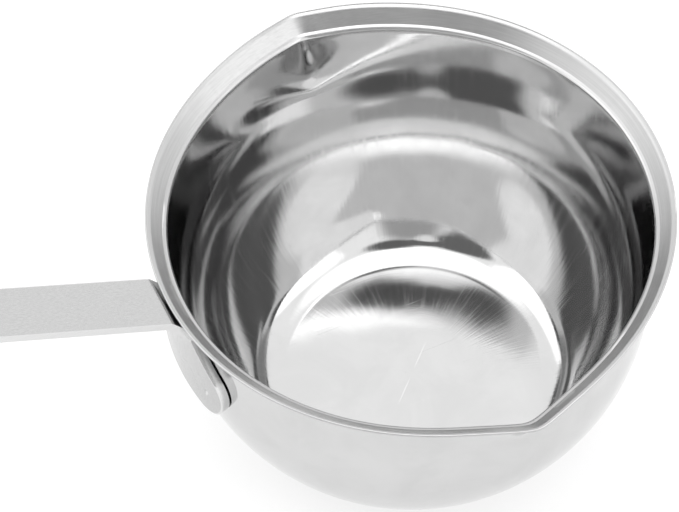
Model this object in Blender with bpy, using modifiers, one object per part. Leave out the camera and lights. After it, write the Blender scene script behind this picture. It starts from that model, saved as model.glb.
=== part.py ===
"""Candle melting pot: a pressed steel bowl with a flared lip and two pouring spouts, and a flat bar handle
whose flared foot is spot welded to the wall.

Metres, +Z up. The origin is the centre of the base's underside. The handle points along -X, and the spouts
point along +Y and -Y, so the pot pours to either hand.
"""

import math

import bmesh
import bpy
from mathutils import Matrix, Vector

# Pot
RIM_RADIUS = 0.075            # the lip's outer edge, away from the spouts
POT_HEIGHT = 0.0825           # base to lip
LIP_WIDTH = 0.0050            # how far the lip stands out from the straight wall
WALL_RADIUS = RIM_RADIUS - LIP_WIDTH  # outside of that wall
BASE_RADIUS = 0.0448          # where the belly's curve would meet the base's plane
SHEET = 0.0008                # steel sheet of the bowl
LIP_EDGE = 0.0006             # upright edge at the top of the lip's cone
LIP_RISE = 0.0040             # height of that cone
STEP_WIDTH = 0.0008           # how far the step under the cone stands out from the wall
STEP_RISE = 0.0007            # height of that step
WALL_DEPTH = 0.0287           # lip down to the start of the belly's curve
KNUCKLE = 0.0055              # rounded corner between belly and base, each way
KNUCKLE_PROBE = 0.01          # share of the belly's curve over which its slope at the base is measured
BASE_CORE = 0.012             # inner ring of the flat base

# Pouring spouts
SPOUT_REACH = 0.0088          # how far a spout's tip would stand out if it were quite sharp
SPOUT_ROUND = 0.035           # rounding of that tip along the lip, radians
SPOUT_SPREAD = 0.333          # reach of the pull along the lip, radians
SPOUT_NECK = 0.10             # its reach at the foot of the channel, radians
SPOUT_POINT = 0.8             # 1 gives straight sides, less gives hollow ones
SPOUT_DEPTH = 0.027           # how far the channel runs down the wall
SPOUT_DIP = 0.0014            # how far the lip sinks at the tip
DIP_SPREAD = 0.139            # reach of that dip along the lip, radians
SPOUT_TURNS = (math.pi / 2, -math.pi / 2)

# Handle's arm
BAR_WIDTH = 0.0172
BAR_THICK = 0.0026
BAR_EDGE = 0.0005             # rounding of the bar's edges
BAR_REACH = 0.1245            # lip to the handle's outer end, measured level
BAR_SLOPE = math.radians(25.6)
HOLE_RADIUS = 0.004           # hanging hole
HOLE_INSET = 0.0105           # its centre to the handle's outer end

# Bends and foot of the handle
BEND_OUT = 0.00157            # lip out to the corner between arm and neck, measured level
BEND_RISE = 0.00104           # lip up to that corner
NECK_SLOPE = math.radians(55)  # the neck is the stretch that passes under the lip, from arm to wall
BEND_RADIUS = 0.0045          # rounding of the corners at both ends of the neck
FOOT_WIDTH = 0.044            # along the wall
FOOT_HEIGHT = 0.0263          # neck down to the foot's lower edge
FOOT_CORNER = 0.0098          # rounding of its two lower corners
WALL_CLEARANCE = 0.0004       # foot to wall

# Spot welds
WELD_RADIUS = 0.0021
WELD_DEPTH = 0.0010           # how far a nugget reaches into the foot
WELD_SPREAD = 0.0149          # along the wall, handle's centre line to each weld
WELD_RISE = 0.0091            # weld's centre above the foot's lower edge
WELD_CLEARANCE = 0.0003       # nugget to its pocket in the foot
DIMPLE_RADIUS = 0.0016        # mark of the electrode on the outside of the foot
DIMPLE_DEPTH = 0.0004

# Looks
BOWL_STEEL = (0.83, 0.84, 0.85, 1.0)
HANDLE_STEEL = (0.80, 0.81, 0.82, 1.0)
WELD_STEEL = (0.55, 0.55, 0.56, 1.0)
BOWL_ROUGHNESS = 0.12
HANDLE_ROUGHNESS = 0.22
WELD_ROUGHNESS = 0.4

# Fineness
TURN_STEPS = 96
WALL_STEPS = 5
BELLY_STEPS = 8
KNUCKLE_STEPS = 3
FOOT_STEPS = 5
CORNER_STEPS = 6
BEND_STEPS = 3
NECK_STEPS = 3
ARM_STEPS = 5
END_STEPS = 7
WIDTH_STEPS = 10
ROUND_STEPS = 32
EDGE_STEPS = 2
EDGE_ANGLE = math.radians(50)  # the bar's edges are rounded where its faces meet more sharply than this
MERGE_DISTANCE = 1e-5
END_TURN = math.radians(85)   # the arm's round end stops here, at a short straight edge


def clear_scene():
    for obj in list(bpy.data.objects):
        bpy.data.objects.remove(obj, do_unlink=True)


def add_collection(name):
    group = bpy.data.collections.new(name)
    bpy.context.scene.collection.children.link(group)
    return group


def add_material(name, colour, roughness):
    material = bpy.data.materials.new(name)
    material.use_nodes = True
    shader = material.node_tree.nodes["Principled BSDF"]
    shader.inputs["Base Color"].default_value = colour
    shader.inputs["Metallic"].default_value = 1.0
    shader.inputs["Roughness"].default_value = roughness
    return material


def add_object(name, mesh_data, group, material=None):
    """Turns a bmesh into an object of the collection."""
    mesh = bpy.data.meshes.new(name)
    mesh_data.to_mesh(mesh)
    mesh_data.free()
    mesh.shade_smooth()
    obj = bpy.data.objects.new(name, mesh)
    group.objects.link(obj)
    if material:
        mesh.materials.append(material)
    return obj


def add_cutter(name, mesh_data, group):
    cutter = add_object(name, mesh_data, group)
    cutter.hide_render = True
    cutter.display_type = "WIRE"
    return cutter


def add_solidify(obj, thickness):
    """Thickens an open surface away from its normals."""
    solidify = obj.modifiers.new("thickness", "SOLIDIFY")
    solidify.thickness = thickness
    solidify.offset = -1
    solidify.use_even_offset = True
    return solidify


def add_cut(obj, cutter):
    cut = obj.modifiers.new(cutter.name, "BOOLEAN")
    cut.operation = "DIFFERENCE"
    cut.solver = "EXACT"
    cut.object = cutter
    return cut


def shares(steps):
    """Evenly spaced shares from just above 0 to 1."""
    return [(step + 1) / steps for step in range(steps)]


def add_disc(bm, frame, radius, low, high):
    """A solid disc square to the frame's Z axis, between two heights on it."""
    bmesh.ops.create_cone(
        bm, cap_ends=True, segments=ROUND_STEPS, radius1=radius, radius2=radius, depth=high - low,
        matrix=frame @ Matrix.Translation((0, 0, (low + high) / 2))
    )


# Bowl ---------------------------------------------------------------------------------------------------


def belly_point(share):
    """Outside of the belly, from the wall (share 0) to the base (share 1), as (radius, height)."""
    start = POT_HEIGHT - WALL_DEPTH
    drop = start / math.sqrt(1 - (BASE_RADIUS / WALL_RADIUS) ** 2)
    angle = share * math.asin(start / drop)
    return WALL_RADIUS * math.cos(angle), start - drop * math.sin(angle)


def knuckle_point(share):
    """Rounded corner from the belly to the base, as (radius, height)."""
    belly_end = Vector(belly_point(knuckle_start()))
    corner = Vector((BASE_RADIUS, 0))
    base_end = Vector((BASE_RADIUS - KNUCKLE, 0))
    return tuple(
        belly_end * (1 - share) ** 2 + corner * 2 * share * (1 - share) + base_end * share**2
    )


def knuckle_start():
    """The share of the belly's curve at which it gives way to the knuckle."""
    last = Vector(belly_point(1))
    length_per_share = (last - Vector(belly_point(1 - KNUCKLE_PROBE))).length / KNUCKLE_PROBE
    return 1 - KNUCKLE / length_per_share


def bowl_profile():
    """Outside of the bowl from its lip to the middle of its base, as (radius, height) pairs."""
    step_radius = WALL_RADIUS + STEP_WIDTH
    cone_top = POT_HEIGHT - LIP_EDGE
    cone_foot = cone_top - LIP_RISE
    wall_top = cone_foot - STEP_RISE
    wall_foot = POT_HEIGHT - WALL_DEPTH
    points = [(RIM_RADIUS, POT_HEIGHT), (RIM_RADIUS, cone_top)]
    points += [(step_radius, cone_foot), (WALL_RADIUS, wall_top)]
    points += [(WALL_RADIUS, wall_top + (wall_foot - wall_top) * share) for share in shares(WALL_STEPS)]
    points += [belly_point(knuckle_start() * share) for share in shares(BELLY_STEPS)]
    points += [knuckle_point(share) for share in shares(KNUCKLE_STEPS)]
    points += [(BASE_CORE, 0), (0, 0)]
    return points


def spout_shift(turn, height):
    """How far the spouts pull a point of the wall or the lip outwards, and how far they sink it."""
    share = (height - POT_HEIGHT + SPOUT_DEPTH) / SPOUT_DEPTH
    if share <= 0:
        return 0.0, 0.0
    spread = SPOUT_NECK + (SPOUT_SPREAD - SPOUT_NECK) * share
    fade = share * share * (3 - 2 * share)
    pull = 0.0
    dip = 0.0
    for spout in SPOUT_TURNS:
        away = abs((turn - spout + math.pi) % (2 * math.pi) - math.pi)
        pull += SPOUT_REACH * fade * math.exp(-((math.hypot(away, SPOUT_ROUND) / spread) ** SPOUT_POINT))
        dip += SPOUT_DIP * fade * math.exp(-((away / DIP_SPREAD) ** 2))
    return pull, dip


def make_bowl(group):
    """One sheet: a turned profile, pulled out at the spouts, then thickened inwards."""
    bm = bmesh.new()
    verts = [bm.verts.new((radius, 0, height)) for radius, height in bowl_profile()]
    edges = [bm.edges.new(pair) for pair in zip(verts, verts[1:])]
    bmesh.ops.spin(
        bm, geom=verts + edges, cent=(0, 0, 0), axis=(0, 0, 1), angle=2 * math.pi, steps=TURN_STEPS,
        use_merge=True
    )
    bmesh.ops.remove_doubles(bm, verts=bm.verts, dist=MERGE_DISTANCE)
    for vert in bm.verts:
        radius = math.hypot(vert.co.x, vert.co.y)
        if radius > BASE_CORE:
            pull, dip = spout_shift(math.atan2(vert.co.y, vert.co.x), vert.co.z)
            vert.co.x *= 1 + pull / radius
            vert.co.y *= 1 + pull / radius
            vert.co.z -= dip
    bmesh.ops.recalc_face_normals(bm, faces=bm.faces)
    lowest = min(bm.faces, key=lambda face: face.calc_center_median().z)
    if lowest.normal.z > 0:
        bmesh.ops.reverse_faces(bm, faces=bm.faces)
    steel = add_material("bowl_steel", BOWL_STEEL, BOWL_ROUGHNESS)
    bowl = add_object("bowl", bm, group, steel)
    add_solidify(bowl, SHEET)
    return bowl


# Handle -------------------------------------------------------------------------------------------------


def foot_radius():
    """Radius of the foot's inner face where it follows the wall."""
    return WALL_RADIUS + WALL_CLEARANCE


def sloping(angle):
    """Direction that rises from level by an angle, as (away from the axis, up)."""
    return Vector((math.cos(angle), math.sin(angle)))


def lip_radius():
    """Radius of the lip's outer edge at the handle."""
    pull, _ = spout_shift(math.pi, POT_HEIGHT)
    return RIM_RADIUS + pull


def bend_corner():
    """Corner between arm and neck, on the handle's centre line, as (distance from the axis, height)."""
    return Vector((lip_radius() + BEND_OUT, POT_HEIGHT + BEND_RISE))


def knee_corner():
    """Corner between neck and foot."""
    corner = bend_corner()
    return Vector((foot_radius(), corner.y - (corner.x - foot_radius()) * math.tan(NECK_SLOPE)))


def bend_tangent(turn):
    """Length that a bend takes from the stretch at each side of it."""
    return BEND_RADIUS * math.tan(turn / 2)


def bend_points(corner, before, after):
    """Rounded corner between two slopes, from its start to its end."""
    start = corner - sloping(before) * bend_tangent(before - after)
    centre = start + BEND_RADIUS * sloping(before - math.pi / 2)
    points = [start]
    for share in shares(BEND_STEPS):
        angle = before + (after - before) * share
        points.append(centre + BEND_RADIUS * sloping(angle + math.pi / 2))
    return points


def arm_end():
    """End of the arm's top face on the handle's centre line."""
    return bend_corner() + sloping(BAR_SLOPE) * ((BAR_REACH - BEND_OUT) / math.cos(BAR_SLOPE))


def foot_base():
    """Height of the foot's lower edge."""
    return knee_corner().y - bend_tangent(math.pi / 2 - NECK_SLOPE) - FOOT_HEIGHT


def foot_outline():
    """Half of the foot from its lower edge to the neck, as (height above that edge, half width)."""
    centre = Vector((FOOT_CORNER, FOOT_WIDTH / 2 - FOOT_CORNER))
    top = Vector((FOOT_HEIGHT, BAR_WIDTH / 2))
    # The straight side runs down from the bar's width, and touches the corner's circle.
    across = centre - top
    side = math.asin(FOOT_CORNER / across.length) + math.atan2(across.y, -across.x)
    points = []
    for step in range(CORNER_STEPS + 1):
        angle = (math.pi / 2 + side) * step / CORNER_STEPS
        points.append(centre + FOOT_CORNER * Vector((-math.cos(angle), math.sin(angle))))
    start = points[-1]
    points += [start.lerp(top, share) for share in shares(FOOT_STEPS)]
    return points


def handle_stations():
    """Cross-lines of the handle from foot to end, each as (radius, height, half width, wrap).

    They lie on the foot's inner face and the arm's top face. Wrap is 1 where the bar is bent round the wall,
    and 0 where it is flat.
    """
    stations = [(foot_radius(), foot_base() + height, half, 1.0) for height, half in foot_outline()]
    half = BAR_WIDTH / 2
    knee = bend_points(knee_corner(), math.pi / 2, NECK_SLOPE)
    bend = bend_points(bend_corner(), NECK_SLOPE, BAR_SLOPE)
    stations += [(*place, half, 1.0) for place in knee[1:]]
    stations += [(*knee[-1].lerp(bend[0], share), half, 1 - share) for share in shares(NECK_STEPS)]
    stations += [(*place, half, 0.0) for place in bend[1:]]
    round_start = arm_end() - sloping(BAR_SLOPE) * half
    stations += [(*bend[-1].lerp(round_start, share), half, 0.0) for share in shares(ARM_STEPS)]
    for share in shares(END_STEPS):
        angle = END_TURN * share
        place = round_start + sloping(BAR_SLOPE) * (math.sin(angle) * half)
        stations.append((*place, math.cos(angle) * half, 0.0))
    return stations


def wrapped(radius, height, across, wrap):
    """A point of the handle's face, with its distance across the bar bent round the wall."""
    turn = across / foot_radius()
    inwards = wrap * foot_radius() * (1 - math.cos(turn))
    sideways = across + wrap * (foot_radius() * math.sin(turn) - across)
    return Vector((-(radius - inwards), sideways, height))


def make_handle(group):
    """A flat bar: a grid laid along its cross-lines, thickened away from the pot, with rounded edges."""
    stations = handle_stations()
    bm = bmesh.new()
    bmesh.ops.create_grid(bm, x_segments=len(stations) - 1, y_segments=WIDTH_STEPS, size=0.5)
    for vert in bm.verts:
        radius, height, half, wrap = stations[round((vert.co.x + 0.5) * (len(stations) - 1))]
        vert.co = wrapped(radius, height, 2 * vert.co.y * half, wrap)
    bmesh.ops.recalc_face_normals(bm, faces=bm.faces)
    lowest = min(bm.faces, key=lambda face: face.calc_center_median().z)
    if lowest.normal.x < 0:
        bmesh.ops.reverse_faces(bm, faces=bm.faces)
    steel = add_material("handle_steel", HANDLE_STEEL, HANDLE_ROUGHNESS)
    handle = add_object("handle", bm, group, steel)
    add_solidify(handle, BAR_THICK)
    bevel = handle.modifiers.new("edges", "BEVEL")
    bevel.width = BAR_EDGE
    bevel.segments = EDGE_STEPS
    bevel.limit_method = "ANGLE"
    bevel.angle_limit = EDGE_ANGLE
    return handle


def hole_cutter(group):
    """Cylinder for the hanging hole, square to the arm."""
    centre = arm_end() - sloping(BAR_SLOPE) * HOLE_INSET
    square = Vector((math.sin(BAR_SLOPE), 0, math.cos(BAR_SLOPE)))
    place = Vector((-centre.x, 0, centre.y)) - square * (BAR_THICK / 2)
    frame = Matrix.Translation(place) @ Vector((0, 0, 1)).rotation_difference(square).to_matrix().to_4x4()
    bm = bmesh.new()
    add_disc(bm, frame, HOLE_RADIUS, -2 * BAR_THICK, 2 * BAR_THICK)
    return add_cutter("hang_hole_cutter", bm, group)


# Spot welds ---------------------------------------------------------------------------------------------


def weld_frame(side):
    """Frame of one weld: its origin is on the foot's inner face, and its Z axis points away from the pot."""
    turn = math.pi - side * WELD_SPREAD / foot_radius()
    outwards = Vector((math.cos(turn), math.sin(turn), 0))
    place = outwards * foot_radius() + Vector((0, 0, foot_base() + WELD_RISE))
    return Matrix.Translation(place) @ Vector((0, 0, 1)).rotation_difference(outwards).to_matrix().to_4x4()


def make_weld(name, side, handle, group, cutters):
    """A nugget seated in the foot's inner face, and the electrode's dimple opposite it."""
    frame = weld_frame(side)
    nugget = bmesh.new()
    add_disc(nugget, frame, WELD_RADIUS, 0, WELD_DEPTH)
    weld = add_object(name, nugget, group, add_material(name + "_steel", WELD_STEEL, WELD_ROUGHNESS))

    pocket = bmesh.new()
    add_disc(pocket, frame, WELD_RADIUS + WELD_CLEARANCE, -BAR_THICK, WELD_DEPTH + WELD_CLEARANCE)
    add_cut(handle, add_cutter(name + "_pocket_cutter", pocket, cutters))

    ball = (DIMPLE_RADIUS**2 + DIMPLE_DEPTH**2) / (2 * DIMPLE_DEPTH)
    dimple = bmesh.new()
    bmesh.ops.create_uvsphere(
        dimple, u_segments=ROUND_STEPS, v_segments=ROUND_STEPS, radius=ball,
        matrix=frame @ Matrix.Translation((0, 0, BAR_THICK - DIMPLE_DEPTH + ball))
    )
    add_cut(handle, add_cutter(name + "_dimple_cutter", dimple, cutters))
    return weld


def main():
    clear_scene()
    parts = add_collection("candle_melting_pot")
    cutters = add_collection("cutters")
    make_bowl(parts)
    handle = make_handle(parts)
    add_cut(handle, hole_cutter(cutters))
    make_weld("spot_weld_left", 1, handle, parts, cutters)
    make_weld("spot_weld_right", -1, handle, parts, cutters)


main()
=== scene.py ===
"""Looks of the candle melting pot: polished pressed bowl, brushed bar handle, spot welds, and a white studio.

Metres, +Z up, in the frame of the CAD model. The handle points along -X and the spouts along +Y and -Y.
"""

import math

import bmesh
import bpy
from mathutils import Matrix, Vector


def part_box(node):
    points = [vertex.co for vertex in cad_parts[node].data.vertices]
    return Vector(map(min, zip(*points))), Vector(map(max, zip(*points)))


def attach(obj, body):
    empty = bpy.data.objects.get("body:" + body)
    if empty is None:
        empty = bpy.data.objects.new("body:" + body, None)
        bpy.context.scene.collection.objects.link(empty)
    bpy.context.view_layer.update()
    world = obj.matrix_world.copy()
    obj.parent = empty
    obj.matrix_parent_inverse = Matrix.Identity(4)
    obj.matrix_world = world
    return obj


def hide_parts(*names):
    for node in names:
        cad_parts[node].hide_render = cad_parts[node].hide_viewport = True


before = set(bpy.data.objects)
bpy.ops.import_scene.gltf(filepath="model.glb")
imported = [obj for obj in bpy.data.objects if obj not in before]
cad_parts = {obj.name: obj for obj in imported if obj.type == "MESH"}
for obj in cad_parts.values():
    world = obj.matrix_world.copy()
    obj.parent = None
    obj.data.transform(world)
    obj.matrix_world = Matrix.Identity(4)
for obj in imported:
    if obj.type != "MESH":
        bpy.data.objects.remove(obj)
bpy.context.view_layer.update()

# Sizes that the CAD nodes give
POT_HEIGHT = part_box("bowl")[1].z

# Bowl, on the middle of its sheet
SHEET = 0.0008
LIP_RADIUS = 0.0746           # centre of the lip's round edge
LIP_DROP = 0.0004             # that centre below the top
CONE_RADIUS = 0.07075         # where the lip's cone meets the ledge
CONE_DROP = 0.00475
CONE_ROUND = 0.0005
WALL_RADIUS = 0.0696
LEDGE_DROP = 0.0052           # where the ledge meets the wall
LEDGE_ROUND = 0.0009
WALL_DEPTH = 0.0287           # lip down to the start of the belly's curve
BASE_RADIUS = 0.0444          # where the belly's curve would meet the base's plane
KNUCKLE = 0.0055              # rounded corner between belly and base, each way
KNUCKLE_PROBE = 0.01          # share of the belly's curve over which its slope at the base is measured
AXIS_TOLERANCE = 1e-6         # points nearer the axis than this lie on it

# Pouring spouts
SPOUT_REACH = 0.0088          # how far a spout's tip would stand out if it were quite sharp
SPOUT_ROUND = 0.035           # rounding of that tip along the lip, radians
SPOUT_SPREAD = 0.333          # reach of the pull along the lip, radians
SPOUT_NECK = 0.10             # its reach at the foot of the channel, radians
SPOUT_POINT = 0.8             # 1 gives straight sides, less gives hollow ones
SPOUT_DEPTH = 0.027           # how far the channel runs down the wall
SPOUT_DIP = 0.0014            # how far the lip sinks at the tip
DIP_SPREAD = 0.139            # reach of that dip along the lip, radians
SPOUT_TURNS = (math.pi / 2, -math.pi / 2)

# Handle
RIM_RADIUS = 0.075
BAR_WIDTH = 0.0172
BAR_THICK = 0.0026
BAR_EDGE = 0.0005
BAR_REACH = 0.1243            # 0.2 mm inside the CAD part, whose end is a straight edge
BAR_SLOPE = math.radians(25.6)
HOLE_RADIUS = 0.004
HOLE_INSET = 0.0103
BEND_OUT = 0.00157
BEND_RISE = 0.00104
NECK_SLOPE = math.radians(55)
BEND_RADIUS = 0.0045
FOOT_WIDTH = 0.044
FOOT_HEIGHT = 0.0263
FOOT_CORNER = 0.0098
FOOT_RADIUS = 0.0704          # of the foot's inner face

# Spot welds
WELD_RADIUS = 0.0021
WELD_THICK = 0.00034
WELD_GAP = 0.0004             # wall to foot
WELD_EDGE = WELD_THICK / 3
WELD_SPREAD = 0.0149
WELD_RISE = 0.0091
DIMPLE_RADIUS = 0.0016
DIMPLE_DEPTH = 0.0004

# Fineness
TURN_STEPS = 400
TURN_CROWDING = 0.4           # how much closer the bowl's steps lie at the spouts
CONE_STEPS = 4
WALL_STEPS = 18
BELLY_STEPS = 30
KNUCKLE_STEPS = 10
ROUND_STEPS = 6
FLOOR_STEPS = 8
WIDTH_STEPS = 90
FOOT_STEPS = 44
CORNER_STEPS = 34
BEND_STEPS = 10
NECK_STEPS = 10
ARM_STEPS = 40
END_STEPS = 24
END_TURN = math.radians(85)
HOLE_STEPS = 96
BAR_EDGE_STEPS = 4
WELD_EDGE_STEPS = 3
BAR_EDGE_ANGLE = math.radians(50)  # the bar's edges are rounded where its faces meet more sharply
SHARP_ANGLE = math.radians(40)     # faces that meet more sharply than this are shaded apart

# Steel: colours, and marks with their sizes in metres or in features to the metre
BOWL_STEEL = (0.61, 0.61, 0.61, 1)
BOWL_SMUDGE = (0.57, 0.57, 0.57, 1)
LIP_STEEL = (0.39, 0.39, 0.39, 1)
LIP_GRAIN = (0.54, 0.54, 0.54, 1)
HANDLE_STEEL = (0.525, 0.525, 0.525, 1)
HANDLE_GRAIN = (0.455, 0.455, 0.455, 1)
# Painted highlight: the sharper edges of bowl and handle are painted lighter with this colour, standing in
# for the light their rounded edges catch
EDGE_HIGHLIGHT_STEEL = (0.70, 0.70, 0.70, 1)
WELD_STEEL = (0.50, 0.50, 0.50, 1)
WELD_HEAT = (0.42, 0.40, 0.39, 1)
MEAN_RADIUS = 0.06
BOWL_ROUGHNESS = 0.055
HANDLE_ROUGHNESS = 0.17
TURNING_STRETCH = (0.02, 1.0, 1.0)
TURNING_SCALE = 2600
TURNING_DEPTH = 0.0000022
RUB_STRETCH = (1.0, 0.06, 0.06)
RUB_SCALE = 900
RUB_DEPTH = 0.000009
RUB_ROUGHNESS = 0.05
WAVE_SCALE = 34
WAVE_DEPTH = 0.00012
SATIN_DROP = 0.0066           # the lip, which is satin, starts this far below the top
SATIN_RADIUS = 0.0698
SATIN_FADE = 0.0006
SATIN_ROUGHNESS = 0.24
SMUDGE_SCALE = 45
SMUDGE_ROUGHNESS = 0.05
SPECK_SCALE = 3500
SPECK_DEPTH = 0.000001
BRUSH_STRETCH = (0.012, 1.0, 0.4)
BRUSH_SCALE = 5200
BRUSH_DEPTH = 0.000003
BRUSH_ROUGHNESS = 0.1
# Roughness taken off the sharper edges, where the painted highlight also lies
EDGE_GLOSS = 0.06
SCRATCH_STRETCH = (0.01, 1.0, 1.0)
SCRATCH_SCALE = 2200
SCRATCH_PATCHES = 60
SCRATCH_THRESHOLD = 0.73
SCRATCH_TURNS = ((0.1, 0.2, 0.4), (0.3, -0.7, 1.5), (-0.5, 0.9, 2.5))
SCRATCH_DEPTH = 0.000002
SCRATCH_ROUGHNESS = 0.12
WELD_GRAIN = 4000
WELD_HEAT_SCALE = 500
WELD_BUMP = 0.00002
WELD_ROUGHNESS = (0.32, 0.55)
# How strongly the sharper edges take the painted highlight colour, on the bowl and on the handle
BOWL_EDGE_HIGHLIGHT = 0.7
HANDLE_EDGE_HIGHLIGHT = 0.8
BRUSH_PULL = 0.4              # how far the brushing stretches highlights
SCRATCH_EDGE = 0.04           # noise from a scratch's edge to its full depth

# The noise values between which each mark goes from nothing to its full strength
COLOUR_RANGE = (0.3, 0.7)
SMUDGE_GLOSS = (0.35, 0.75)
HANDLE_SMUDGE = (0.4, 0.8)
RUB_GLOSS = (0.45, 0.75)
BRUSH_GLOSS = (0.35, 0.65)
SCRATCH_PATCH = (0.5, 0.65)
BOWL_EDGES = (0.53, 0.62)
HANDLE_EDGES = (0.53, 0.6)


def shares(steps):
    return [(step + 1) / steps for step in range(steps)]


def new_object(name, mesh_data):
    mesh = bpy.data.meshes.new(name)
    mesh_data.to_mesh(mesh)
    mesh_data.free()
    mesh.shade_smooth()
    obj = bpy.data.objects.new(name, mesh)
    bpy.context.scene.collection.objects.link(obj)
    return obj


# Bowl ---------------------------------------------------------------------------------------------------


def rounded_corner(before, corner, after, radius, steps):
    """Points of an arc that rounds off a corner between two straight stretches."""
    back = (before - corner).normalized()
    ahead = (after - corner).normalized()
    half = math.acos(max(-1, min(1, back.dot(ahead)))) / 2
    start = corner + back * (radius / math.tan(half))
    centre = corner + (back + ahead).normalized() * (radius / math.sin(half))
    end = corner + ahead * (radius / math.tan(half))
    points = []
    for step in range(steps + 1):
        spoke = (start - centre).lerp(end - centre, step / steps)
        points.append(centre + spoke.normalized() * radius)
    return points


def belly_point(share):
    start = POT_HEIGHT - WALL_DEPTH
    drop = (start - SHEET / 2) / math.sqrt(1 - (BASE_RADIUS / WALL_RADIUS) ** 2)
    angle = share * math.asin((start - SHEET / 2) / drop)
    return Vector((WALL_RADIUS * math.cos(angle), start - drop * math.sin(angle)))


def bowl_line():
    """Middle of the sheet from the lip's edge to the base's centre, as (radius, height)."""
    lip = Vector((LIP_RADIUS, POT_HEIGHT - LIP_DROP))
    cone = Vector((CONE_RADIUS, POT_HEIGHT - CONE_DROP))
    ledge = Vector((WALL_RADIUS, POT_HEIGHT - LEDGE_DROP))
    wall_foot = Vector((WALL_RADIUS, POT_HEIGHT - WALL_DEPTH))
    points = [lip] + [lip.lerp(cone, share) for share in shares(CONE_STEPS)[:-1]]
    points += rounded_corner(lip, cone, ledge, CONE_ROUND, ROUND_STEPS)
    points += rounded_corner(cone, ledge, wall_foot, LEDGE_ROUND, ROUND_STEPS)
    wall_top = points[-1]
    points += [wall_top.lerp(wall_foot, share) for share in shares(WALL_STEPS)]
    belly_end = belly_point(1)
    length_per_share = (belly_end - belly_point(1 - KNUCKLE_PROBE)).length / KNUCKLE_PROBE
    knuckle_start = 1 - KNUCKLE / length_per_share
    points += [belly_point(knuckle_start * share) for share in shares(BELLY_STEPS)]
    start = points[-1]
    end = Vector((BASE_RADIUS - KNUCKLE, SHEET / 2))
    for share in shares(KNUCKLE_STEPS):
        points.append(start * (1 - share) ** 2 + belly_end * 2 * share * (1 - share) + end * share**2)
    points += [Vector((end.x * (1 - share), SHEET / 2)) for share in shares(FLOOR_STEPS)]
    return points


def sheet_outline():
    """Both sides of the sheet, each from the lip to the axis, and the lip's round edge that joins them."""
    line = bowl_line()
    sides = {1: [], -1: []}
    for index, point in enumerate(line):
        before = line[max(0, index - 1)]
        after = line[min(len(line) - 1, index + 1)]
        along = (after - before).normalized()
        across = Vector((-along.y, along.x))
        for side in sides:
            sides[side].append(point + across * (side * SHEET / 2))
    along = (line[0] - line[1]).normalized()
    across = Vector((-along.y, along.x))
    cap = []
    for step in range(1, ROUND_STEPS):
        angle = math.pi * step / ROUND_STEPS
        cap.append(line[0] + (across * math.cos(angle) + along * math.sin(angle)) * (SHEET / 2))
    return sides[1], sides[-1], cap


def spout_shift(turn, height):
    share = (height - POT_HEIGHT + SPOUT_DEPTH) / SPOUT_DEPTH
    if share <= 0:
        return 0.0, 0.0
    spread = SPOUT_NECK + (SPOUT_SPREAD - SPOUT_NECK) * share
    fade = share * share * (3 - 2 * share)
    pull = 0.0
    dip = 0.0
    for spout in SPOUT_TURNS:
        away = abs((turn - spout + math.pi) % (2 * math.pi) - math.pi)
        pull += SPOUT_REACH * fade * math.exp(-((math.hypot(away, SPOUT_ROUND) / spread) ** SPOUT_POINT))
        dip += SPOUT_DIP * fade * math.exp(-((away / DIP_SPREAD) ** 2))
    return pull, dip


def make_bowl():
    """The sheet's outline turned round the axis, with its steps crowded towards the spouts."""
    first, second, cap = sheet_outline()
    outline = first[::-1] + cap + second
    bm = bmesh.new()
    rings = []
    for point in outline:
        if point.x < AXIS_TOLERANCE:
            rings.append([bm.verts.new((0, 0, point.y))])
            continue
        ring = []
        for step in range(TURN_STEPS):
            even = 2 * math.pi * step / TURN_STEPS
            turn = even + TURN_CROWDING * math.sin(2 * even)
            pull, dip = spout_shift(turn, point.y)
            radius = point.x + pull
            ring.append(bm.verts.new((radius * math.cos(turn), radius * math.sin(turn), point.y - dip)))
        rings.append(ring)
    for low, high in zip(rings, rings[1:]):
        for step in range(TURN_STEPS):
            after = (step + 1) % TURN_STEPS
            # A ring on the axis is a single point, so its two corners fall together.
            corners = [low[step % len(low)], low[after % len(low)]]
            corners += [high[after % len(high)], high[step % len(high)]]
            bm.faces.new(list(dict.fromkeys(corners)))
    bmesh.ops.recalc_face_normals(bm, faces=bm.faces)
    return new_object("bowl_sheet", bm)


# Handle -------------------------------------------------------------------------------------------------


def sloping(angle):
    return Vector((math.cos(angle), math.sin(angle)))


def bend_corner():
    pull, _ = spout_shift(math.pi, POT_HEIGHT)
    return Vector((RIM_RADIUS + pull + BEND_OUT, POT_HEIGHT + BEND_RISE))


def knee_corner():
    corner = bend_corner()
    return Vector((FOOT_RADIUS, corner.y - (corner.x - FOOT_RADIUS) * math.tan(NECK_SLOPE)))


def bend_tangent(turn):
    return BEND_RADIUS * math.tan(turn / 2)


def bend_points(corner, before, after):
    start = corner - sloping(before) * bend_tangent(before - after)
    centre = start + BEND_RADIUS * sloping(before - math.pi / 2)
    points = [start]
    for share in shares(BEND_STEPS):
        angle = before + (after - before) * share
        points.append(centre + BEND_RADIUS * sloping(angle + math.pi / 2))
    return points


def arm_end():
    return bend_corner() + sloping(BAR_SLOPE) * ((BAR_REACH - BEND_OUT) / math.cos(BAR_SLOPE))


def foot_base():
    return knee_corner().y - bend_tangent(math.pi / 2 - NECK_SLOPE) - FOOT_HEIGHT


def foot_outline():
    centre = Vector((FOOT_CORNER, FOOT_WIDTH / 2 - FOOT_CORNER))
    top = Vector((FOOT_HEIGHT, BAR_WIDTH / 2))
    across = centre - top
    side = math.asin(FOOT_CORNER / across.length) + math.atan2(across.y, -across.x)
    points = []
    for step in range(CORNER_STEPS + 1):
        angle = (math.pi / 2 + side) * step / CORNER_STEPS
        points.append(centre + FOOT_CORNER * Vector((-math.cos(angle), math.sin(angle))))
    start = points[-1]
    points += [start.lerp(top, share) for share in shares(FOOT_STEPS)]
    return points


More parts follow.
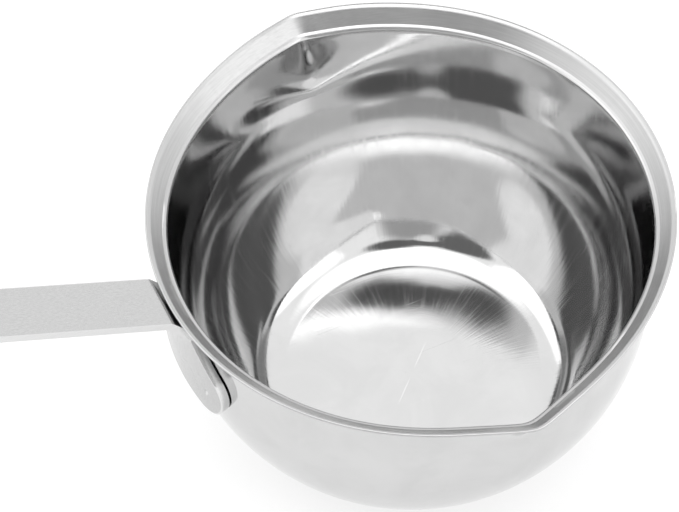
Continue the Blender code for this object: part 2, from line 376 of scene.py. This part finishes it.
def handle_stations():
    stations = [(FOOT_RADIUS, foot_base() + height, half, 1.0) for height, half in foot_outline()]
    half = BAR_WIDTH / 2
    knee = bend_points(knee_corner(), math.pi / 2, NECK_SLOPE)
    bend = bend_points(bend_corner(), NECK_SLOPE, BAR_SLOPE)
    stations += [(*place, half, 1.0) for place in knee[1:]]
    for share in shares(NECK_STEPS):
        stations.append((*knee[-1].lerp(bend[0], share), half, 1 - share * share * (3 - 2 * share)))
    stations += [(*place, half, 0.0) for place in bend[1:]]
    round_start = arm_end() - sloping(BAR_SLOPE) * half
    stations += [(*bend[-1].lerp(round_start, share), half, 0.0) for share in shares(ARM_STEPS)]
    for share in shares(END_STEPS):
        angle = END_TURN * share
        place = round_start + sloping(BAR_SLOPE) * (math.sin(angle) * half)
        stations.append((*place, math.cos(angle) * half, 0.0))
    return stations


def wrapped(radius, height, across, wrap):
    turn = across / FOOT_RADIUS
    inwards = wrap * FOOT_RADIUS * (1 - math.cos(turn))
    sideways = across + wrap * (FOOT_RADIUS * math.sin(turn) - across)
    return Vector((-(radius - inwards), sideways, height))


def dimple_shift(height, across):
    """How far the electrode's mark presses a point of the foot towards the wall."""
    deepest = 0.0
    for side in (1, -1):
        away = math.hypot(height - foot_base() - WELD_RISE, across - side * WELD_SPREAD) / DIMPLE_RADIUS
        if away < 1:
            deepest = DIMPLE_DEPTH * (1 - away * away) ** 2
    return deepest


def make_handle():
    stations = handle_stations()
    bm = bmesh.new()
    bmesh.ops.create_grid(bm, x_segments=len(stations) - 1, y_segments=WIDTH_STEPS, size=0.5)
    for vert in bm.verts:
        radius, height, half, wrap = stations[round((vert.co.x + 0.5) * (len(stations) - 1))]
        across = 2 * vert.co.y * half
        vert.co = wrapped(radius, height, across, wrap)
        if wrap == 1.0:
            outwards = Vector((vert.co.x, vert.co.y, 0)).normalized()
            vert.co -= outwards * dimple_shift(height, across)
    bmesh.ops.recalc_face_normals(bm, faces=bm.faces)
    lowest = min(bm.faces, key=lambda face: face.calc_center_median().z)
    if lowest.normal.x < 0:
        bmesh.ops.reverse_faces(bm, faces=bm.faces)
    handle = new_object("bar_handle", bm)
    solidify = handle.modifiers.new("thickness", "SOLIDIFY")
    solidify.thickness = BAR_THICK
    solidify.offset = -1
    solidify.use_even_offset = True
    bevel = handle.modifiers.new("edges", "BEVEL")
    bevel.width = BAR_EDGE
    bevel.segments = BAR_EDGE_STEPS
    bevel.limit_method = "ANGLE"
    bevel.angle_limit = BAR_EDGE_ANGLE
    return handle


def hole_cutter():
    """Cylinder for the hanging hole, square to the arm."""
    centre = arm_end() - sloping(BAR_SLOPE) * HOLE_INSET
    square = Vector((math.sin(BAR_SLOPE), 0, math.cos(BAR_SLOPE)))
    place = Vector((-centre.x, 0, centre.y)) - square * (BAR_THICK / 2)
    turned = Vector((0, 0, 1)).rotation_difference(square).to_matrix().to_4x4()
    bm = bmesh.new()
    bmesh.ops.create_cone(
        bm, cap_ends=True, segments=HOLE_STEPS, radius1=HOLE_RADIUS, radius2=HOLE_RADIUS, depth=4 * BAR_THICK,
        matrix=Matrix.Translation(place) @ turned
    )
    return new_object("hole_cutter", bm)


def cut_hole(handle):
    cutter = hole_cutter()
    cut = handle.modifiers.new("hole", "BOOLEAN")
    cut.operation = "DIFFERENCE"
    cut.solver = "EXACT"
    cut.object = cutter
    graph = bpy.context.evaluated_depsgraph_get()
    mesh = bpy.data.meshes.new_from_object(handle.evaluated_get(graph))
    handle.modifiers.clear()
    handle.data = mesh
    bpy.data.objects.remove(cutter, do_unlink=True)
    mesh.shade_smooth()
    mesh.set_sharp_from_angle(angle=SHARP_ANGLE)


# Spot welds ---------------------------------------------------------------------------------------------


def make_weld(name, side):
    """Fused metal between wall and foot: a flat disc with a round edge."""
    turn = math.pi - side * WELD_SPREAD / FOOT_RADIUS
    outwards = Vector((math.cos(turn), math.sin(turn), 0))
    place = outwards * (FOOT_RADIUS - WELD_GAP / 2) + Vector((0, 0, foot_base() + WELD_RISE))
    turned = Vector((0, 0, 1)).rotation_difference(outwards).to_matrix().to_4x4()
    bm = bmesh.new()
    bmesh.ops.create_cone(
        bm, cap_ends=True, segments=HOLE_STEPS, radius1=WELD_RADIUS, radius2=WELD_RADIUS, depth=WELD_THICK,
        matrix=Matrix.Translation(place) @ turned
    )
    weld = new_object(name, bm)
    bevel = weld.modifiers.new("round edge", "BEVEL")
    bevel.width = WELD_EDGE
    bevel.segments = WELD_EDGE_STEPS
    return weld


# Materials ----------------------------------------------------------------------------------------------


class Nodes:
    """Short names for the nodes that the materials and the studio are built from."""

    def __init__(self, tree):
        self.tree = tree

    def add(self, kind, inputs=None, **settings):
        node = self.tree.nodes.new(kind)
        for name, value in settings.items():
            setattr(node, name, value)
        for name, value in (inputs or {}).items():
            if isinstance(value, bpy.types.NodeSocket):
                self.tree.links.new(value, node.inputs[name])
            else:
                node.inputs[name].default_value = value
        return node

    def math(self, operation, first, second=0.0, third=0.0):
        return self.add("ShaderNodeMath", {0: first, 1: second, 2: third}, operation=operation).outputs[0]

    def place(self):
        return self.add("ShaderNodeTexCoord").outputs["Object"]

    def stretched(self, vector, scale, turn=(0, 0, 0)):
        inputs = {"Vector": vector, "Scale": scale, "Rotation": turn}
        return self.add("ShaderNodeMapping", inputs).outputs[0]

    def noise(self, vector, scale, detail=2.0, roughness=0.5, distortion=0.0):
        return self.add("ShaderNodeTexNoise", {
            "Vector": vector, "Scale": scale, "Detail": detail, "Roughness": roughness,
            "Distortion": distortion,
        }).outputs["Fac"]

    def ramp(self, value, low, high, start, end):
        """Carries a value smoothly from start to end while it goes from low to high."""
        return self.add("ShaderNodeMapRange", {
            "Value": value, "From Min": low, "From Max": high, "To Min": start, "To Max": end
        }, interpolation_type="SMOOTHSTEP").outputs["Result"]

    def bump(self, height, depth, normal=None):
        inputs = {"Height": height, "Distance": depth, "Strength": 1.0}
        if normal:
            inputs["Normal"] = normal
        return self.add("ShaderNodeBump", inputs).outputs["Normal"]

    def tint(self, share, low, high):
        inputs = {"Factor": share, "A": low, "B": high}
        return self.add("ShaderNodeMix", inputs, data_type="RGBA").outputs["Result"]


def steel_nodes(name):
    material = bpy.data.materials.new(name)
    material.use_nodes = True
    nodes = Nodes(material.node_tree)
    shader = material.node_tree.nodes["Principled BSDF"]
    shader.inputs["Metallic"].default_value = 1.0
    return material, nodes, shader


def turned_place(nodes, place):
    """Coordinates round the pot: distance along the turn, distance from the axis, and height, in metres."""
    parts = nodes.add("ShaderNodeSeparateXYZ", {"Vector": place}).outputs
    turn = nodes.math("ARCTAN2", parts["Y"], parts["X"])
    level = nodes.add("ShaderNodeCombineXYZ", {"X": parts["X"], "Y": parts["Y"], "Z": 0.0}).outputs[0]
    radius = nodes.add("ShaderNodeVectorMath", {0: level}, operation="LENGTH").outputs["Value"]
    around = nodes.math("MULTIPLY", turn, MEAN_RADIUS)
    return nodes.add("ShaderNodeCombineXYZ", {"X": around, "Y": radius, "Z": parts["Z"]}).outputs[0]


def scratches(nodes, place, turns, threshold):
    """Fine straight scratches in a few directions, as a share from 0 to 1."""
    total = 0.0
    for turn in turns:
        lines = nodes.noise(nodes.stretched(place, SCRATCH_STRETCH, turn), SCRATCH_SCALE, 1.0)
        mask = nodes.noise(nodes.stretched(place, (1, 1, 1), turn), SCRATCH_PATCHES, 1.0)
        line = nodes.ramp(lines, threshold, threshold + SCRATCH_EDGE, 0.0, 1.0)
        patch = nodes.ramp(mask, *SCRATCH_PATCH, 0.0, 1.0)
        total = nodes.math("ADD", total, nodes.math("MULTIPLY", line, patch))
    return nodes.math("MINIMUM", total, 1.0)


def polished_steel():
    """Pressed and polished sheet: turning marks, upright rub marks, smudges, fine scratches, and a painted
    highlight on the sharper edges.
    """
    material, nodes, shader = steel_nodes("polished_steel")
    place = nodes.place()
    turned = turned_place(nodes, place)
    marks = nodes.noise(nodes.stretched(turned, TURNING_STRETCH), TURNING_SCALE, 3.0)
    rubs = nodes.noise(nodes.stretched(turned, RUB_STRETCH), RUB_SCALE, 3.0)
    waves = nodes.noise(place, WAVE_SCALE, 2.0)
    smudges = nodes.noise(place, SMUDGE_SCALE, 4.0, 0.6, 0.6)
    specks = nodes.noise(place, SPECK_SCALE, 2.0)
    marked = scratches(nodes, place, SCRATCH_TURNS, SCRATCH_THRESHOLD)
    # Sharper edges, found by pointiness; they get a painted highlight below
    highlight_edges = nodes.ramp(nodes.add("ShaderNodeNewGeometry").outputs["Pointiness"], *BOWL_EDGES, 0.0, 1.0)

    parts = nodes.add("ShaderNodeSeparateXYZ", {"Vector": turned}).outputs
    lip = nodes.ramp(parts["Z"], POT_HEIGHT - SATIN_DROP, POT_HEIGHT - SATIN_DROP + SATIN_FADE, 0.0, 1.0)
    outer = nodes.ramp(parts["Y"], SATIN_RADIUS, SATIN_RADIUS + SATIN_FADE, 0.0, 1.0)
    lip = nodes.math("MULTIPLY", lip, outer)

    roughness = nodes.ramp(smudges, *SMUDGE_GLOSS, BOWL_ROUGHNESS, BOWL_ROUGHNESS + SMUDGE_ROUGHNESS)
    roughness = nodes.math("MULTIPLY_ADD", lip, SATIN_ROUGHNESS, roughness)
    roughness = nodes.math("ADD", roughness, nodes.ramp(rubs, *RUB_GLOSS, 0.0, RUB_ROUGHNESS))
    roughness = nodes.math("MULTIPLY_ADD", marked, SCRATCH_ROUGHNESS, roughness)
    nodes.tree.links.new(roughness, shader.inputs["Roughness"])

    colour = nodes.tint(nodes.ramp(smudges, *COLOUR_RANGE, 0.0, 1.0), BOWL_STEEL, BOWL_SMUDGE)
    colour = nodes.tint(lip, colour, nodes.tint(marks, LIP_STEEL, LIP_GRAIN))
    # Painted highlight: the sharper edges are painted lighter
    colour = nodes.tint(nodes.math("MULTIPLY", highlight_edges, BOWL_EDGE_HIGHLIGHT), colour, EDGE_HIGHLIGHT_STEEL)
    nodes.tree.links.new(colour, shader.inputs["Base Color"])

    normal = nodes.bump(waves, WAVE_DEPTH)
    normal = nodes.bump(marks, TURNING_DEPTH, normal)
    normal = nodes.bump(rubs, RUB_DEPTH, normal)
    normal = nodes.bump(specks, SPECK_DEPTH, normal)
    normal = nodes.bump(marked, -SCRATCH_DEPTH, normal)
    nodes.tree.links.new(normal, shader.inputs["Normal"])
    return material


def brushed_steel():
    """Flat bar brushed along its length, with smudges, a painted highlight on its sharper edges, which are
    also made glossier, and fine scratches.
    """
    material, nodes, shader = steel_nodes("brushed_steel")
    place = nodes.place()
    grain = nodes.noise(nodes.stretched(place, BRUSH_STRETCH), BRUSH_SCALE, 4.0, 0.6)
    smudges = nodes.noise(place, SMUDGE_SCALE, 4.0, 0.6, 0.6)
    waves = nodes.noise(place, WAVE_SCALE, 1.0)
    marked = scratches(nodes, place, SCRATCH_TURNS, SCRATCH_THRESHOLD)
    # Sharper edges, found by pointiness; they are made glossier and get a painted highlight below
    highlight_edges = nodes.ramp(nodes.add("ShaderNodeNewGeometry").outputs["Pointiness"], *HANDLE_EDGES, 0.0, 1.0)

    roughness = nodes.ramp(grain, *BRUSH_GLOSS, HANDLE_ROUGHNESS, HANDLE_ROUGHNESS + BRUSH_ROUGHNESS)
    roughness = nodes.math("ADD", roughness, nodes.ramp(smudges, *HANDLE_SMUDGE, 0.0, SMUDGE_ROUGHNESS))
    roughness = nodes.math("MULTIPLY_ADD", highlight_edges, -EDGE_GLOSS, roughness)
    nodes.tree.links.new(roughness, shader.inputs["Roughness"])

    colour = nodes.tint(nodes.ramp(grain, *COLOUR_RANGE, 0.0, 1.0), HANDLE_STEEL, HANDLE_GRAIN)
    # Painted highlight: the sharper edges are painted lighter
    colour = nodes.tint(nodes.math("MULTIPLY", highlight_edges, HANDLE_EDGE_HIGHLIGHT), colour, EDGE_HIGHLIGHT_STEEL)
    nodes.tree.links.new(colour, shader.inputs["Base Color"])

    normal = nodes.bump(waves, WAVE_DEPTH)
    normal = nodes.bump(grain, BRUSH_DEPTH, normal)
    normal = nodes.bump(marked, -SCRATCH_DEPTH, normal)
    nodes.tree.links.new(normal, shader.inputs["Normal"])
    shader.inputs["Anisotropic"].default_value = BRUSH_PULL
    return material


def fused_steel():
    """Weld metal, grainy and dulled by the heat."""
    material, nodes, shader = steel_nodes("fused_steel")
    place = nodes.place()
    grain = nodes.noise(place, WELD_GRAIN, 4.0, 0.7)
    heat = nodes.noise(place, WELD_HEAT_SCALE, 2.0)
    nodes.tree.links.new(nodes.ramp(grain, *COLOUR_RANGE, *WELD_ROUGHNESS), shader.inputs["Roughness"])
    nodes.tree.links.new(nodes.tint(heat, WELD_STEEL, WELD_HEAT), shader.inputs["Base Color"])
    nodes.tree.links.new(nodes.bump(grain, WELD_BUMP), shader.inputs["Normal"])
    return material


# Studio -------------------------------------------------------------------------------------------------

CAMERA_DISTANCE = 1.0
CAMERA_ELEVATION = math.radians(52.552)
CAMERA_AZIMUTH = math.radians(-114.91)
CAMERA_ROLL = math.radians(-0.468)
CAMERA_SHIFT = (-0.105, -0.0696)
CAMERA_LENS = 186.26
SENSOR = 36
FLOOR_SIZE = 6
FLOOR_COLOUR = (0.35, 0.35, 0.35, 1)
FLOOR_GLOW = 0.66
TENT_LIGHT = 1.3
# Each patch: azimuth from the camera's side, elevation, angles of its even middle and of its outer edge in
# degrees, and its light
STUDIO_PATCHES = (
    (0, 90, 14, 31, 2.9),
    (-100, 42, 23, 28, 1.95),
    (76, 36, 20, 26, 2.0),
    (0, 28, 10, 20, 0.5),
    (-34, 45, 12, 18, 0.2),
    (14, 54, 7, 15, 0.18),
    (-10, 51, 6, 11, 0.2),
    (-10, 43, 3, 7, 1.15),
)


def make_camera():
    aim = Vector((0, 0, POT_HEIGHT))
    towards = Vector((
        math.cos(CAMERA_ELEVATION) * math.cos(CAMERA_AZIMUTH),
        math.cos(CAMERA_ELEVATION) * math.sin(CAMERA_AZIMUTH),
        math.sin(CAMERA_ELEVATION),
    ))
    right = (-towards).cross(Vector((0, 0, 1))).normalized()
    up = right.cross(-towards)
    axes = Matrix((right, up, towards)).transposed().to_4x4()
    camera = bpy.data.objects.new("camera", bpy.data.cameras.new("camera"))
    bpy.context.scene.collection.objects.link(camera)
    stand = Matrix.Translation(aim + CAMERA_DISTANCE * towards)
    camera.matrix_world = stand @ axes @ Matrix.Rotation(CAMERA_ROLL, 4, "Z")
    camera.data.lens = CAMERA_LENS
    camera.data.sensor_width = SENSOR
    camera.data.shift_x, camera.data.shift_y = CAMERA_SHIFT
    bpy.context.scene.camera = camera


def make_floor():
    """A white table that glows a little, so that the pot's shadow on it stays faint."""
    bm = bmesh.new()
    bmesh.ops.create_grid(bm, x_segments=1, y_segments=1, size=FLOOR_SIZE)
    floor = new_object("floor", bm)
    material = bpy.data.materials.new("floor_white")
    material.use_nodes = True
    shader = material.node_tree.nodes["Principled BSDF"]
    shader.inputs["Base Color"].default_value = FLOOR_COLOUR
    shader.inputs["Roughness"].default_value = 1
    shader.inputs["Emission Color"].default_value = (1, 1, 1, 1)
    shader.inputs["Emission Strength"].default_value = FLOOR_GLOW
    floor.data.materials.append(material)


def direction(azimuth, elevation):
    """Unit vector; the azimuth counts from the camera's side."""
    turn = CAMERA_AZIMUTH + math.radians(azimuth)
    rise = math.radians(elevation)
    return Vector((math.cos(rise) * math.cos(turn), math.cos(rise) * math.sin(turn), math.sin(rise)))


def make_world():
    """White tent with lamps overhead and at both sides, and a dark room on the camera's side."""
    world = bpy.data.worlds.new("studio")
    bpy.context.scene.world = world
    world.use_nodes = True
    nodes = Nodes(world.node_tree)
    view = nodes.add("ShaderNodeTexCoord").outputs["Generated"]
    light = TENT_LIGHT
    for azimuth, elevation, inner, outer, strength in STUDIO_PATCHES:
        toward = nodes.add(
            "ShaderNodeVectorMath", {0: view, 1: direction(azimuth, elevation)}, operation="DOT_PRODUCT"
        ).outputs["Value"]
        share = nodes.ramp(toward, math.cos(math.radians(outer)), math.cos(math.radians(inner)), 0.0, 1.0)
        light = nodes.add("ShaderNodeMix", {"Factor": share, "A": light, "B": strength}).outputs["Result"]
    nodes.tree.links.new(light, world.node_tree.nodes["Background"].inputs["Strength"])
    world.node_tree.nodes["Background"].inputs["Color"].default_value = (1, 1, 1, 1)


bowl = make_bowl()
bowl.data.materials.append(polished_steel())
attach(bowl, "root")
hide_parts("bowl")

handle = make_handle()
cut_hole(handle)
handle.data.materials.append(brushed_steel())
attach(handle, "root")
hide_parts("handle")

weld_metal = fused_steel()
for weld_name, weld_side in (("left", 1), ("right", -1)):
    weld = make_weld("weld_" + weld_name, weld_side)
    weld.data.materials.append(weld_metal)
    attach(weld, "root")
    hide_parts("spot_weld_" + weld_name)

make_camera()
make_floor()
make_world()
bpy.context.scene.view_settings.view_transform = "Standard"
